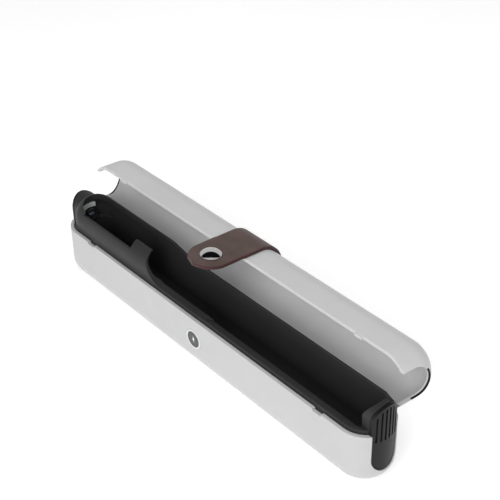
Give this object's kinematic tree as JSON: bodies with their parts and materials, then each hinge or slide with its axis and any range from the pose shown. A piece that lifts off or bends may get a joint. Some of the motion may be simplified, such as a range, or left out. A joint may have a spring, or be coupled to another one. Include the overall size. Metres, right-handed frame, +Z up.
{
  "type": "toothbrush sanitizer",
  "caption": "Slim ultraviolet travel case that holds and disinfects a toothbrush, with a hinged lid, a leather strap with a snap, a power button and a dark cradle",
  "frame": {"origin": "centre of the underside of the base shell, on the plane it stands on", "axes": "+X along the case, -Y to the button side, +Z up; the lid stands open about its hinge on the +Y side"},
  "size_m": [0.2296, 0.0472, 0.0632],
  "materials": {
    "shell_plastic": "fine satin",
    "liner_plastic": "fine spark texture",
    "plate_plastic": "satin, vertical grooves",
    "bezel_plastic": "glossy",
    "button_plastic": "soft satin",
    "light_guide": "clear white",
    "black_plastic": "moulded",
    "circuit_board": "solder mask",
    "magnet": "nickel plate",
    "steel": "plain",
    "bezel_metal": "satin",
    "quartz": "clear",
    "led": "phosphor-free lamp",
    "reflector": "bright",
    "battery": "wrapped cell",
    "foam": "open foam",
    "seal": "matt",
    "strap_leather": "grained, waxed edge",
    "snap_chrome": "polished"
  },
  "bodies": {
    "root": {"base_shell": "shell_plastic", "battery_cell": "battery", "battery_cradle": "black_plastic", "battery_pad": "foam", "board_post_left": "shell_plastic", "board_post_right": "shell_plastic", "button_bezel_ring": "bezel_plastic", "closure_magnet_left": "magnet", "closure_magnet_right": "magnet", "control_chip": "black_plastic", "cradle_tray": "liner_plastic", "driver_chip": "black_plastic", "end_plate_left": "plate_plastic", "end_plate_right": "plate_plastic", "hinge_pin_left": "steel", "hinge_pin_right": "steel", "inductor": "black_plastic", "lid_sensor": "black_plastic", "main_board": "circuit_board", "mouth_trim": "bezel_metal", "socket_tongue": "black_plastic", "switch_board": "circuit_board", "tact_switch": "black_plastic", "usb_c_socket": "steel", "uv_bezel_ring": "black_plastic", "uv_board": "circuit_board", "uv_lamp_housing": "black_plastic", "uv_led_left": "led", "uv_led_right": "led", "uv_reflector": "reflector", "uv_window": "quartz"},
    "button": {"power_button_cap": "button_plastic", "button_light_guide": "light_guide"},
    "lid": {"lid_magnet_left": "magnet", "lid_magnet_right": "magnet", "lid_shell": "shell_plastic", "notch_seal_left": "seal", "notch_seal_right": "seal", "strap_band": "strap_leather", "strap_rivet_left": "steel", "strap_rivet_right": "steel"},
    "flap": {"snap_cap": "snap_chrome", "snap_magnet": "magnet", "snap_post": "steel", "strap_flap": "strap_leather"}
  },
  "joints": [
    {"name": "power_button_press", "type": "slide", "parent": "root", "child": "button", "axis": [0, 1, 0], "range_m": [0, 0.0005], "stiffness_N_per_m": 2500, "springref_m": -0.0003},
    {"name": "lid_hinge", "type": "hinge", "parent": "root", "child": "lid", "pos_m": [0, 0.0122, 0.032], "axis": [1, 0, 0], "range_deg": [0, 92]},
    {"name": "strap_flap_bend", "type": "hinge", "parent": "lid", "child": "flap", "pos_m": [0, 0.01036, 0.05943], "axis": [1, 0, 0], "range_deg": [-50, 0], "stiffness_Nm_per_rad": 0.01}
  ]
}
